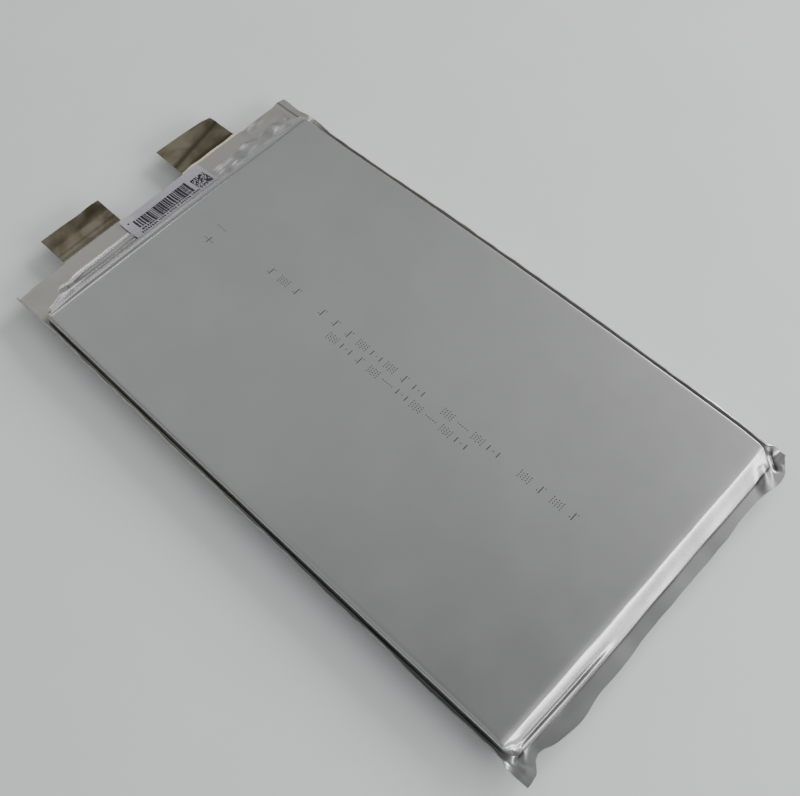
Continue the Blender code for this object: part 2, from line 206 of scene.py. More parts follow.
def from_line(x, y, start, end):
    """The distance from the line between start and end, and the share of it passed so far."""
    run = (end[0] - start[0], end[1] - start[1])
    along = ((x - start[0]) * run[0] + (y - start[1]) * run[1]) / (run[0] ** 2 + run[1] ** 2)
    along = np.clip(along, 0, 1)
    return np.hypot(x - start[0] - along * run[0], y - start[1] - along * run[1]), along


def crease(x, y, start, end, width):
    """1 on the line from start to end, and 0 away from it."""
    distance, _ = from_line(x, y, start, end)
    return hill(distance, width)


def pleat(x, y, start, end, width):
    """A sharp fold, 1 where its ridge starts, that falls to 0 at its end and at its sides."""
    distance, along = from_line(x, y, start, end)
    return (1 - along) * np.clip(1 - distance / width, 0, 1)


def facets(x, y, centre, reach, count, seed):
    """Crumpled foil: flat facets between sharp folds, which fade out at reach."""
    dice = np.random.default_rng(seed)
    across = (x - centre[0]) / reach[0]
    along = (y - centre[1]) / reach[1]
    folds = np.zeros_like(across)
    angles = dice.uniform(0, math.pi, count)
    offsets = dice.uniform(-0.7, 0.7, count)
    signs = dice.choice([-1, 1], count)
    for angle, offset, sign in zip(angles, offsets, signs):
        turned = across * math.cos(angle) + along * math.sin(angle)
        folds = folds + sign * (np.abs(turned - offset) - 0.5)
    fade = np.exp(-((across**2 + along**2) ** 2))
    return folds * fade / math.sqrt(count)


def all_of(shape, table, x, y):
    """The sum of one shape drawn once for each row of a table, whose first entry is its height."""
    return sum(height * shape(x, y, *row) for height, *row in table)


def deselect():
    if bpy.context.object and bpy.context.object.mode != "OBJECT":
        bpy.ops.object.mode_set(mode="OBJECT")
    bpy.ops.object.select_all(action="DESELECT")


def make_active(piece):
    deselect()
    piece.select_set(True)
    bpy.context.view_layer.objects.active = piece


def new_grid(name, columns, rows):
    """A grid of columns by rows points, and each point's column and row number."""
    deselect()
    bpy.ops.mesh.primitive_grid_add(x_subdivisions=columns - 1, y_subdivisions=rows - 1, size=1)
    piece = bpy.context.object
    piece.name = piece.data.name = name
    places = points_of(piece)
    column = np.rint((places[:, 0] + 0.5) * (columns - 1)).astype(int)
    row = np.rint((places[:, 1] + 0.5) * (rows - 1)).astype(int)
    return piece, column, row


def points_of(piece):
    places = np.empty(len(piece.data.vertices) * 3)
    piece.data.vertices.foreach_get("co", places)
    return places.reshape(-1, 3)


def set_points(piece, x, y, z):
    """Moves the points to x, y and z in millimetres from the face's centre and the floor."""
    places = np.stack([x, y + FACE_CENTRE_Y, z], axis=1) * MM
    piece.data.vertices.foreach_set("co", places.ravel())
    piece.data.update()


def apply_modifier(piece, kind, **settings):
    make_active(piece)
    modifier = piece.modifiers.new(kind.title(), kind)
    for name, value in settings.items():
        setattr(modifier, name, value)
    bpy.ops.object.modifier_apply(modifier=modifier.name)


def thicken(piece, thickness, **settings):
    """Gives a sheet its thickness, on the inner side of the surface that is drawn."""
    apply_modifier(piece, "SOLIDIFY", thickness=thickness * MM, offset=-1, **settings)


def shade(piece, angle=70):
    make_active(piece)
    bpy.ops.object.shade_smooth_by_angle(angle=math.radians(angle))


def new_piece(name, data):
    """Puts finished mesh data in the scene."""
    piece = bpy.data.objects.new(name, data)
    bpy.context.scene.collection.objects.link(piece)
    return piece


def dress(piece, slot, *materials):
    """Gives a piece its materials; the slot is not used."""
    piece.data.materials.clear()
    for material in materials:
        piece.data.materials.append(material)


# ---------------------------------------------------------------- the pouch film


def slope_share(y):
    """How high the slope at the tab end stands, from 1 at the face to 0 at the seal."""
    spread = np.linspace(-1.2, 1.2, 9)
    weight = hill(spread, 0.6)
    out = y - TAB_SLOPE_TOP
    total = sum(w * np.interp(out + s, SLOPE_OUT, SLOPE_HIGH) for s, w in zip(spread, weight))
    return total / weight.sum()


def bottom_foot(x):
    """Where the bottom wall meets its flange."""
    return BOTTOM_WALL_FOOT + 0.3 * smooth(-32, -58, x) + 0.12 * ripple(x, 0 * x, 22, 5)


def bottom_edge(x):
    """The cut edge of the bottom flange, which was trimmed by hand."""
    edge = BOTTOM_REACH
    for reach, centre, width in TRIM_WAVES:
        edge = edge + reach * hill(x - centre, width)
    near_ear = 2.0 * smooth(-60.5, -64.5, x) + 0.5 * smooth(-64.5, -68, x)
    far_corner = 3.4 * smooth(64.5, 71, x)
    return edge - near_ear + far_corner + 0.1 * ripple(x, 0 * x, 9, 6)


def tab_edge(x):
    """The cut edge of the seal at the tab end."""
    corners = 0.9 * smooth(62, 67, x) - 0.6 * smooth(-60, -64, x)
    return SEAL_REACH + corners + 0.1 * ripple(x, 0 * x, 14, 7)


def tab_foot(x):
    """Where the slope at the tab end meets the seal: much nearer to the face at the near corner."""
    return TAB_SLOPE_FOOT - 6.4 * smooth(-44, -67, x)


def wandered(x, nominal):
    """Bends the rows near the ends, so that they follow the slopes' feet and the cut edges."""

    def between(start, end, new_start, new_end):
        return new_start + (nominal - start) * (new_end - new_start) / (end - start)

    foot = bottom_foot(x)
    wall = between(BOTTOM_WALL_FOOT, BOTTOM_WALL_TOP, foot, BOTTOM_WALL_TOP)
    flange = between(BOTTOM_WALL_FOOT, BOTTOM_REACH, foot, bottom_edge(x))
    slope = between(TAB_SLOPE_TOP, TAB_SLOPE_FOOT, TAB_SLOPE_TOP, tab_foot(x))
    seal_strip = between(TAB_SLOPE_FOOT, SEAL_REACH, tab_foot(x), tab_edge(x))
    y = np.where(nominal < BOTTOM_WALL_TOP, wall, nominal)
    y = np.where(nominal < BOTTOM_WALL_FOOT, flange, y)
    y = np.where(nominal > TAB_SLOPE_TOP, slope, y)
    y = np.where(nominal > TAB_SLOPE_FOOT, seal_strip, y)
    crumpled = smooth(18, 26, x) * smooth(66, 60, x)
    crumpled = crumpled * smooth(110, 112.5, nominal) * smooth(125, 121, nominal)
    return y + 0.75 * crumpled * ripple(x, nominal, 8, 47)


def length_share(nominal):
    """The cup's height along the cell, by the nominal row."""
    wall = (nominal - BOTTOM_WALL_FOOT) / (BOTTOM_WALL_TOP - BOTTOM_WALL_FOOT)
    return slope_share(nominal) * ramp(wall, 0.05, 0.16)


def over_tab(x, centre):
    """1 where the film lies over a tab and its sealant, and 0 beside them."""
    half = TAB_HALF_WIDTH + 3
    return smooth(half + 1.2, half - 0.6, np.abs(x - centre))


def over_tabs(x):
    return over_tab(x, TAB_CENTRES["positive"]) + over_tab(x, TAB_CENTRES["negative"])


def tab_bulge(x, y):
    """The film rides up over each tab and its sealant."""
    return TAB_BULGE * over_tabs(x) * smooth(117, 121, y)


def seal_wave(x, y):
    """The fused film is never quite flat: both walls share these waves."""
    on_flange = smooth(-113, -117, y)
    wave = on_flange * (0.16 * ripple(x, y, 30, 11, 3) + 0.04 * ripple(x, y, 9, 12, 3))
    wave = wave + on_flange * 0.5 * hill(x + 47, 9) * smooth(-117, -122, y)
    wave = wave + on_flange * all_of(facets, BOTTOM_FLANGE_CRUMPLES, x, y)
    wave = wave - on_flange * FLANGE_DROOP * above_zero(-116.5 - y, 0.5)
    wave = wave + smooth(-109, -111, y) * all_of(facets, BOTTOM_FAR_CORNER_CRUMPLES, x, y)
    wave = wave + all_of(crease, SEAL_CREASES, x, y) + all_of(pleat, SEAL_PLEATS, x, y)
    on_strip = smooth(121, 125, y) * (1 - over_tabs(x))
    wave = wave + on_strip * (0.14 * ripple(x, y, 34, 13, 3) + 0.05 * ripple(x, y, 9, 14))
    wave = wave + on_strip * all_of(facets, SEAL_STRIP_CRUMPLES, x, y)
    return wave + smooth(112, 118, y) * all_of(facets, TAB_CORNER_CRUMPLES, x, y)


def slope_detail(x, y):
    """The slope's soft ridge, the groove above it, and the dents on the label's far side."""
    ridge = smooth(-58, -42, x) * (0.15 + 0.85 * smooth(-8, -22, x))
    past_ridge = y - RIDGE_Y + 0.3 * ripple(x, 0 * y, 24, 33)
    detail = ridge * (0.95 * hill(past_ridge, 0.95) - 0.45 * hill(past_ridge + 2.3, 1.0))
    detail = detail + all_of(crease, SLOPE_CREASES, x, y)
    detail = detail - 0.21 * hill(y - GROOVE_Y, 0.42) + 0.24 * hill(y - GROOVE_Y - 1.4, 0.65)
    between = smooth(110, 113, y) * smooth(123, 120, y)
    detail = detail + between * 0.03 * ripple(x, y, 11, 34, 0.6)
    dented = smooth(19, 27, x) * smooth(64, 58, x) * smooth(110, 112, y) * smooth(124, 121, y)
    detail = detail + dented * all_of(facets, SLOPE_DENTS, x, y)
    return detail + smooth(109.5, 111.5, y) * all_of(facets, SLOPE_END_CRUMPLES, x, y)


def bottom_wall_detail(x, y):
    """The bottom wall's waves, the second fold low on its near half, and its crumpled ends."""
    wall = smooth(-110, -111, y) * smooth(-116.6, -115.4, y)
    up = y - bottom_foot(x)
    second_fold = smooth(-64, -60, x) * smooth(-16, -34, x)
    second_fold = second_fold * (0.5 * hill(up - 0.8, 0.5) - 0.85 * hill(up - 1.95, 0.75))
    waves = 0.09 * ripple(x, y, 20, 51, 0.3) + 0.02 * ripple(x, y, 5, 52)
    ends = all_of(facets, WALL_END_CRUMPLES, x, y) + all_of(crease, WALL_CREASES, x, y)
    return wall * (waves + second_fold) + smooth(-109.5, -111, y) * ends


def upper_detail(x, y):
    """What the upper wall shows beyond the cup's plain shape, as height in millimetres."""
    face = smooth(114, 100, np.abs(y)) * smooth(66, 56, np.abs(x))
    swelling = face * (0.03 + 0.015 * ripple(x, y, 70, 31, 1.6))
    return swelling + slope_detail(x, y) + bottom_wall_detail(x, y)


def fold_angle(y, side):
    """How far the side flange is turned up, in radians; at the far tab corner it droops."""
    angle = FOLD_TURN + 3 * ripple(y, 0 * y, 45, 61 + int(side))
    if side < 0:
        angle = angle - 10 * smooth(119, 129, y) - 90 * smooth(-110.5, -117.5, y)
    else:
        angle = angle - 3 - 102 * smooth(98, 122, y) - 68 * smooth(-109.5, -115.5, y)
    return np.radians(angle)


def flange_share(y, side):
    """How much of the flange's width is left after trimming."""
    if side < 0:
        bottom = 0.3 * smooth(-104, -111, y) + 0.1 * smooth(-117, -122, y)
        return 0.78 - 0.1 * smooth(118, 129, y) - bottom
    return 0.8 + 0.06 * smooth(112, 124, y) + 0.14 * smooth(-108, -114.5, y)


def side_bow(y, side):
    """How far the swollen side stands out beyond a straight one."""
    near = NEAR_BOW * (1 - (y / 109) ** 2)
    far = FAR_BOW * np.clip(1 - ((y + 35) / 120) ** 2, 0, 1)
    return np.where(side < 0, near, far) * smooth(122, 98, np.abs(y))


def flange_fold(distance, angle):
    """Where a point of the flange lies after folding, as out, up and the turn of the film there."""
    way = np.sign(angle)
    turn = way * np.clip((distance - FOLD_START) / FOLD_RADIUS, 0, np.abs(angle))
    straight = np.maximum(distance - FOLD_START - FOLD_RADIUS * np.abs(angle), 0)
    bent = np.minimum(distance, FOLD_START) + FOLD_RADIUS * np.sin(np.abs(turn))
    out = bent + straight * np.cos(angle)
    up = way * FOLD_RADIUS * (1 - np.cos(turn)) + straight * np.sin(angle)
    return out, up, turn


def half_section(shoulder):
    """One side's columns, from the face outward.

    Returns x on the cup, x where the film lies flat, the height's share and the flange distance.
    """
    quarter = np.linspace(0, math.pi / 2, SHOULDER_COLUMNS + 1)[1:]
    shoulder_x = FACE_HALF_WIDTH + shoulder * np.sin(quarter)
    shoulder_share = 1 - shoulder * (1 - np.cos(quarter)) / CUP_HEIGHT
    down = np.linspace(0, 1, WALL_COLUMNS + 2)[1:-1]
    foot_share = FOOT_RADIUS / CUP_HEIGHT
    wall_x = shoulder_x[-1] + (FOOT_X - FOOT_RADIUS - shoulder_x[-1]) * down
    wall_share = shoulder_share[-1] + (foot_share - shoulder_share[-1]) * down
    quarter = np.linspace(0, math.pi / 2, FOOT_COLUMNS + 1)
    foot_x = FOOT_X - FOOT_RADIUS * np.cos(quarter)
    foot_shares = foot_share * (1 - np.sin(quarter))
    x = np.concatenate([shoulder_x, wall_x, foot_x])
    share = np.concatenate([shoulder_share, wall_share, foot_shares])
    flat_x = np.linspace(SPREAD_FACE, FOOT_X, len(x) + 1)[1:]
    flange = np.linspace(0, FLANGE_WIDTH, FLANGE_COLUMNS + 1)[1:]
    still = np.full(FLANGE_COLUMNS, FOOT_X)
    return (
        np.concatenate([x, still]),
        np.concatenate([flat_x, still]),
        np.concatenate([share, 0 * flange]),
        np.concatenate([0 * x, flange]),
    )


def film_columns(step):
    """All columns from the near side to the far side, as half_section gives them."""
    face = np.linspace(-FACE_HALF_WIDTH, FACE_HALF_WIDTH, round(2 * FACE_HALF_WIDTH / step) + 1)
    flat_face = face * SPREAD_FACE / FACE_HALF_WIDTH
    near = [part[::-1] for part in half_section(NEAR_SHOULDER)]
    far = half_section(FAR_SHOULDER)
    return (
        np.concatenate([-near[0], face, far[0]]),
        np.concatenate([-near[1], flat_face, far[1]]),
        np.concatenate([near[2], 0 * face + 1, far[2]]),
        np.concatenate([-near[3], 0 * face, far[3]]),
    )


def film_rows(step):
    """Nominal rows, close together where the film is folded and wide apart on the face."""
    face_count = round((TAB_SLOPE_TOP - BOTTOM_WALL_TOP) / step)
    return np.concatenate(
        [
            np.linspace(BOTTOM_REACH, BOTTOM_WALL_FOOT, BOTTOM_FLANGE_ROWS + 1)[:-1],
            np.linspace(BOTTOM_WALL_FOOT, BOTTOM_WALL_TOP, WALL_ROWS + 1)[:-1],
            np.linspace(BOTTOM_WALL_TOP, TAB_SLOPE_TOP, face_count + 1)[:-1],
            np.linspace(TAB_SLOPE_TOP, TAB_SLOPE_FOOT, SLOPE_ROWS + 1)[:-1],
            np.linspace(TAB_SLOPE_FOOT, SEAL_REACH, STRIP_ROWS + 1),
        ]
    )


def cup(side_share, end_share):
    """Joins the side walls' and the end slopes' heights round the cup's corners."""
    return np.clip(1 - np.hypot(1 - side_share, 1 - end_share), 0, 1)


def painted_crease_shade(x, y):
    """Painted shade: 1 along the tight folds of the film, where shadow gathers, and a faint even
    share over the bottom flange.
    """
    across = smooth(66, 63, np.abs(x))
    foot = bottom_foot(x)
    near_half = smooth(-63, -58, x) * smooth(-20, -38, x)
    lines = 0.95 * hill(y - foot, 0.45) * across + 0.14 * smooth(foot, foot - 0.8, y)
    lines = lines + 0.35 * hill(y - GROOVE_Y, 0.4) * across
    lines = lines + 0.45 * hill(y - foot - 1.75, 0.45) * near_half
    return np.clip(lines + all_of(crease, CREASE_SHADE_LINES, x, y), 0, 1)


def keep_as_attribute(piece, name, values):
    kept = piece.data.attributes.new(name, "FLOAT", "POINT")
    kept.data.foreach_set("value", np.asarray(values, np.float32))


def pouch_wall(name, way, step, row_step):
    """One wall of the pouch. way is 1 for the upper wall and -1 for the lower."""
    wall_x, flat_x, side_share, flange = film_columns(step)
    rows = film_rows(row_step)
    piece, column, row = new_grid(name, len(wall_x), len(rows))
    nominal = rows[row]
    end_share = length_share(nominal)
    spread = 1 - smooth(0.02, 0.98, end_share)
    x = wall_x[column] + (flat_x[column] - wall_x[column]) * spread
    share = side_share[column]
    height = cup(share, end_share)
    side = np.where(column * 2 < len(wall_x), -1.0, 1.0)
    width = np.where(side < 0, flange_share(nominal, -1), flange_share(nominal, 1))
    distance = np.abs(flange[column]) * width
    y = wandered(x + side * distance, nominal)
    x = x + side * side_bow(nominal, side) * smooth(0.8, 1.0, np.abs(x) / FOOT_X)
    lift = seal_wave(x, y) * (1 - height)
    bulge = tab_bulge(x, y) * (1 - height)
    z = SEAL_Z + lift + way * (SEAL_OFFSET + bulge + CUP_HEIGHT * height)
    if way > 0:
        z = z + upper_detail(x, y) * smooth(0.3, 0.9, share)
    angle = np.where(side < 0, fold_angle(nominal, -1), fold_angle(nominal, 1))
    out, up, turn = flange_fold(distance, angle)
    on_flange = distance > 0
    end_wave = 0.16 * ripple(nominal + 300 * side, 0 * nominal, 13, 71)
    end_wave = end_wave * smooth(1.5, FLANGE_WIDTH, distance)
    x = np.where(on_flange, x + side * (out + end_wave - way * SEAL_OFFSET * np.sin(turn)), x)
    z = np.where(on_flange, z - way * SEAL_OFFSET + up + way * SEAL_OFFSET * np.cos(turn), z)
    set_points(piece, x, y, z)
    keep_as_attribute(piece, "sealed", smooth(0.1, 0.0, height) * (nominal > 0))
    # Painted shade: the near flange stands close to its wall, so the gap between them is darkened
    # in the colour.
    gap_shade = smooth(0.5, 0.1, share) * smooth(2.0, 0.8, distance) * smooth(0, 0.4, end_share)
    gap_shade = 0.5 * gap_shade * smooth(0.6, 0.95, np.sin(angle)) * (side < 0)
    keep_as_attribute(piece, "crease_shade", np.maximum(gap_shade, painted_crease_shade(x, y)))
    if way < 0:
        turn_over(piece)
    return piece


def turn_over(piece):
    """Points a sheet's faces the other way."""
    make_active(piece)
    bpy.ops.object.mode_set(mode="EDIT")
    bpy.ops.mesh.select_all(action="SELECT")
    bpy.ops.mesh.flip_normals()
    bpy.ops.object.mode_set(mode="OBJECT")


def build_film(laminate, cut_edge):
    """The two walls of the pouch; the lower one is hardly seen, so it is divided less finely."""
    upper = pouch_wall("upper_film", 1, FACE_STEP, FACE_ROW_STEP)
    lower = pouch_wall("lower_film", -1, 2 * FACE_STEP, 2 * FACE_ROW_STEP)
    for piece, node in ((upper, "upper_pouch_film"), (lower, "lower_pouch_film")):
        dress(piece, "aluminium_laminate", laminate, cut_edge)
        thicken(piece, FILM_THICKNESS, material_offset_rim=1)
        shade(piece)
        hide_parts(node)
        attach(piece, "cell")


def film_height(x, y):
    """The upper wall's surface where it is not near the sides."""
    end_share = length_share(y)
    base = SEAL_Z + SEAL_OFFSET + CUP_HEIGHT * end_share + upper_detail(x, y)
    return base + (seal_wave(x, y) + tab_bulge(x, y)) * (1 - end_share)


# ---------------------------------------------------------------- tabs

TAB_THICKNESS = 0.2
LEAD_THICKNESS = 0.15
SEALANT_THICKNESS = 0.1
STRIP_STEP = 0.7
LEAD_STEP = 0.5

# A tab shows from just past its root, and the lead begins just before it.
TAB_START = ROOT_END + 0.02
LEAD_START = ROOT_END - 0.1

# The corner that is curled, and the line of painted shade along the crease that crosses the
# negative tab at a slant.
CURL_REACH = 5.0
TAB_SHADE_START = 134.7
TAB_SHADE_RISE = 0.23

# How far the sealant shows past the seal's edge, and the seeds of the strips' ragged edges.
SEALANT_SHOWN = {"positive": 0.1, "negative": 1.3}
SEALANT_SEEDS = {
    ("positive", "upper"): 91,
    ("positive", "lower"): 89,
    ("negative", "upper"): 96,
    ("negative", "lower"): 94,
}


def strip(name, low_x, high_x, near, far, thickness, height, step=STRIP_STEP, darkening=None):
    """A strip of metal or sealant. far, height and the darkening (real stains on the lead, painted
    shade on the negative tab) are functions of the place on it.
    """
    columns = round((high_x - low_x) / step) + 1
    rows = round((far(low_x) - near) / step) + 1
    piece, column, row = new_grid(name, columns, rows)
    x = low_x + (high_x - low_x) * column / (columns - 1)
    along = row / (rows - 1)
    y = near + (far(x) - near) * along
    set_points(piece, x, y, height(x, y))
    if darkening:
        keep_as_attribute(piece, "tarnished", darkening(x, y))
    thicken(piece, thickness)
    shade(piece)
    return piece


def build_negative_tab(nickel):
    """One flat strip with a shallow crease across, a curled corner, and painted shade from the
    slanted crease to the root.
    """
    top = NEGATIVE_HIGH.z
    right = NEGATIVE_HIGH.x
    tip = NEGATIVE_HIGH.y - FACE_CENTRE_Y

    def far(x):
        return tip + 0.5 - 1.1 * (x - NEGATIVE_LOW.x) / (2 * TAB_HALF_WIDTH) + 0 * x

    def curl(x, y):
        return smooth(CURL_REACH, 0, np.hypot(x - right, y - tip))

    def height(x, y):
        wave = 0.12 * ripple(x, y, 34, 81) + 0.02 * ripple(x, y, 10, 82)
        fold = -0.35 * crease(x, y, (right - 30, ROOT_END + 2), (right, ROOT_END + 9), 3.0)
        return top - 0.9 * curl(x, y) + (wave + fold) * smooth(ROOT_END, ROOT_END + 4, y)

    def darkening(x, y):
        # Painted shade: dark along the slanted crease, a dark band at the root's right part, and
        # fainter on the root side of the crease; none on the curled corner.
        past_line = y - TAB_SHADE_START - TAB_SHADE_RISE * (x - NEGATIVE_LOW.x)
        line = 0.85 * hill(past_line, 1.5)
        root_band = 0.8 * smooth(133.4, 131.4, y) * smooth(16, 22, x)
        below = 0.35 * smooth(0.5, -0.5, past_line)
        return np.maximum(np.maximum(line, root_band), below) * (1 - curl(x, y))

    shape = (NEGATIVE_LOW.x, right, TAB_START, far, TAB_THICKNESS, height)
    piece = strip("negative_tab", *shape, darkening=darkening)
    dress(piece, "nickel", nickel)
    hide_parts("negative_tab_blade")
    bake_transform(piece)


def build_positive_tab(aluminium, welded_nickel):
    """An aluminium stub below, and the nickel lead that is welded on it above."""

    def stub_height(x, y):
        return POSITIVE_HIGH.z + 0 * x

    def stub_far(x):
        return POSITIVE_HIGH.y - FACE_CENTRE_Y + 0 * x

    shape = (POSITIVE_LOW.x, POSITIVE_HIGH.x, TAB_START, stub_far, TAB_THICKNESS, stub_height)
    stub = strip("positive_stub", *shape)
    dress(stub, "aluminium", aluminium)
    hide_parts("positive_tab_stub")
    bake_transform(stub)
    tip = LEAD_HIGH.y - FACE_CENTRE_Y

    def lead_far(x):
        return tip + 0.25 * ripple(x, 0 * x, 30, 83)

    def lead_height(x, y):
        wave = 0.12 * ripple(x, y, 30, 84) + 0.02 * ripple(x, y, 9, 85)
        end = smooth(LEAD_START + 8, LEAD_START + 11, y)
        corner = smooth(7, 0, np.hypot(x - LEAD_HIGH.x + 4, y - tip))
        return LEAD_HIGH.z + end * (0.12 + wave) + 0.5 * corner

    def lead_tarnish(x, y):
        patch = hill(np.hypot((x - LEAD_HIGH.x + 6) / 1.8, y - tip + 4), 4.5)
        stain = np.clip(0.4 + 0.25 * ripple(x, y, 7, 86) + 0.35 * patch, 0, 0.8)
        return smooth(137.0, 138.6, y) * stain

    shape = (LEAD_LOW.x, LEAD_HIGH.x, LEAD_START, lead_far, LEAD_THICKNESS, lead_height)
    lead = strip("positive_lead", *shape, LEAD_STEP, lead_tarnish)
    dress(lead, "nickel", welded_nickel)
    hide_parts("positive_nickel_lead")
    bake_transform(lead)


def build_sealant_strip(sign, level, seed, polypropylene):
    """One of the two strips that close the pouch round a tab, a little proud of the seal's edge."""
    node = f"{sign}_tab_sealant_{level}"
    low, high = (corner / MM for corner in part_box(node))
    shown = SEALANT_SHOWN[sign]

    def far(x):
        beside = np.abs(x - TAB_CENTRES[sign])
        beside = smooth(TAB_HALF_WIDTH + 1.6, TAB_HALF_WIDTH - 0.4, beside)
        return SEAL_REACH - 0.4 + (0.4 + shown) * beside + 0.15 * ripple(x, 0 * x, 9, seed)

    def height(x, y):
        return high.z + seal_wave(x, y)

    shape = (low.x, high.x, low.y - FACE_CENTRE_Y, far, SEALANT_THICKNESS, height)
    piece = strip(f"{sign}_sealant_{level}", *shape)
    dress(piece, "sealant_polypropylene", polypropylene)
    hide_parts(node)
    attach(piece, "cell")


def build_sealant(polypropylene):
    for (sign, level), seed in SEALANT_SEEDS.items():
        build_sealant_strip(sign, level, seed, polypropylene)


# ---------------------------------------------------------------- label and print

LABEL_GAP = 0.06
LABEL_THICKNESS = 0.1
LABEL_CORNER = 1.5
LABEL_COLUMN = 1.0
LABEL_ROW = 0.6
PRINT_STEP = 0.8
PRINT_THICKNESS = 0.01
INK_GAP = 0.015

# The made-up code on the label: bars, a block pattern and a row of dashes.
BAR_START, BAR_END = -15.3, 11.6
BAR_LOW, BAR_HIGH = 118.0, 125.4
BAR_WIDTHS = (0.35, 0.5, 0.8, 1.05)
BAR_GAPS = (0.2, 0.25, 0.4)
BLOCK_LEFT, BLOCK_LOW = 13.2, 117.1
BLOCK_CELLS = 14
BLOCK_CELL = 0.5
DASH_START, DASH_END = -16.5, 20.0
DASH_LOW, DASH_HIGH = 115.9, 117.4
DASH_GAPS = (0.35, 0.35, 0.9)
CORNER_MARK = (-17.6, -16.8, 125.0, 125.8)

# The dot printing on the face: the pitch of its columns, rows and cells, and the dots' radius.
INK_COLUMN = 1.05
INK_ROW = 0.45
INK_CELL = 6.86
INK_DOT = 0.21
INK_DOT_THICKNESS = 0.012

# The dots of one printed cell, as column and row: five columns of seven.
INK_CELLS = {
    "stroke": [(2, row) for row in range(7)] + [(1, 1), (3, 6)],
    "dash": [(column, 3) for column in range(5)],
    "block": [(column, row) for column in range(5) for row in range(column % 2, 7, 2)],
    "pair": [(column, row) for column in (0, 4) for row in range(1, 6)] + [(2, 3)],
    "none": [],
}

# Each printed line: y where it starts, x of its middle row, and its cells.
INK_LINES = (
    (
        66.0,
        3.6,
        "stroke block stroke none stroke stroke stroke block pair block stroke pair none "
        "block dash block pair none block stroke block stroke",
    ),
    (28.0, -1.6, "block pair stroke block dash pair block dash block pair"),
)

# Where the two polarity signs are printed: the plus first.
PLUS_PLACE = (-2.5, 92.5)
MINUS_PLACE = (4.6, 93.0)


def label_height(x, y):
    """The label is stiffer than the film, so it bridges the film's small dents."""
    shifts = (-2.4, -1.2, 0, 1.2, 2.4)
    rise = sum(film_height(x, y + shift) / len(shifts) for shift in shifts)
    # The corner beside the positive tab has come unstuck and stands up.
    lift = 0.75 * smooth(-14.5, -21, x) * smooth(118, 128, y)
    return np.maximum(rise, film_height(x, y)) + LABEL_GAP + LABEL_THICKNESS + lift


def build_label(paper):
    """A rectangle with rounded corners, cut into narrow faces so that it can follow the film."""
    low_y = LABEL_LOW.y - FACE_CENTRE_Y
    high_y = LABEL_HIGH.y - FACE_CENTRE_Y + LABEL_ROW
    middle = ((LABEL_LOW.x + LABEL_HIGH.x) / 2, (low_y + high_y) / 2 + FACE_CENTRE_Y, 0)
    deselect()
    bpy.ops.mesh.primitive_plane_add(size=1, location=[place * MM for place in middle])
    piece = bpy.context.object
    piece.name = piece.data.name = "cell_label"
    piece.scale = ((LABEL_HIGH.x - LABEL_LOW.x) * MM, (high_y - low_y) * MM, 1)
    bpy.ops.object.transform_apply(location=True, rotation=False, scale=True)
    bpy.ops.object.mode_set(mode="EDIT")
    bpy.ops.mesh.select_all(action="SELECT")
    bpy.ops.mesh.bevel(offset=LABEL_CORNER * MM, segments=5, affect="VERTICES")
    for cut in np.arange(LABEL_LOW.x + LABEL_COLUMN, LABEL_HIGH.x, LABEL_COLUMN):
        bpy.ops.mesh.select_all(action="SELECT")
        bpy.ops.mesh.bisect(plane_co=(cut * MM, 0, 0), plane_no=(1, 0, 0))
    for cut in np.arange(low_y + LABEL_ROW, high_y, LABEL_ROW):
        bpy.ops.mesh.select_all(action="SELECT")
        bpy.ops.mesh.bisect(plane_co=(0, (cut + FACE_CENTRE_Y) * MM, 0), plane_no=(0, 1, 0))
    bpy.ops.object.mode_set(mode="OBJECT")
    places = points_of(piece) / MM
    y = places[:, 1] - FACE_CENTRE_Y
    set_points(piece, places[:, 0], y, label_height(places[:, 0], y))
    thicken(piece, LABEL_THICKNESS)
    shade(piece)
    dress(piece, "label_paper", paper)
    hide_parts("barcode_label")
    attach(piece, "cell")


def print_on_label(patches, ink):
    """Printed patches, each low x, high x, low y, high y, that follow the label below them."""
    mesh = bmesh.new()
    for low_x, high_x, low_y, high_y in patches:
        rows = max(1, round((high_y - low_y) / PRINT_STEP))
        columns = max(1, round((high_x - low_x) / PRINT_STEP))
        across = np.linspace(low_x, high_x, columns + 1)
        along = np.linspace(low_y, high_y, rows + 1)
        x, y = np.meshgrid(across, along)
        places = np.stack([x, y + FACE_CENTRE_Y, label_height(x, y) + INK_GAP], axis=2) * MM
        grid = [[mesh.verts.new(tuple(place)) for place in line] for line in places]
        for below, above in zip(grid, grid[1:]):
            for left in range(columns):
                mesh.faces.new((below[left], below[left + 1], above[left + 1], above[left]))
    data = bpy.data.meshes.new("label_print")
    mesh.to_mesh(data)
    mesh.free()
    piece = new_piece("label_print", data)
    thicken(piece, PRINT_THICKNESS)
    dress(piece, "label_paper", ink)
    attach(piece, "cell")


def build_label_print(ink):
    """Plain bars, a block pattern and a row of dashes that stand for the code and its number."""
    dice = np.random.default_rng(7)
    patches = []
    x = BAR_START
    while x < BAR_END:
        width = dice.choice(BAR_WIDTHS)
        patches.append((x, x + width, BAR_LOW, BAR_HIGH))
        x += width + dice.choice(BAR_GAPS)
    border = (0, BLOCK_CELLS - 1)
    for row in range(BLOCK_CELLS):
        for column in range(BLOCK_CELLS):
            filled = 0.85 if row in border or column in border else 0.6
            if dice.random() < filled:
                left = BLOCK_LEFT + column * BLOCK_CELL
                low = BLOCK_LOW + row * BLOCK_CELL
                patches.append((left, left + BLOCK_CELL, low, low + BLOCK_CELL))
    x = DASH_START
    while x < DASH_END:
        width = dice.uniform(0.4, 0.8)
        patches.append((x, x + width, DASH_LOW, DASH_HIGH))
        x += width + dice.choice(DASH_GAPS)
    patches.append(CORNER_MARK)
    print_on_label(patches, ink)


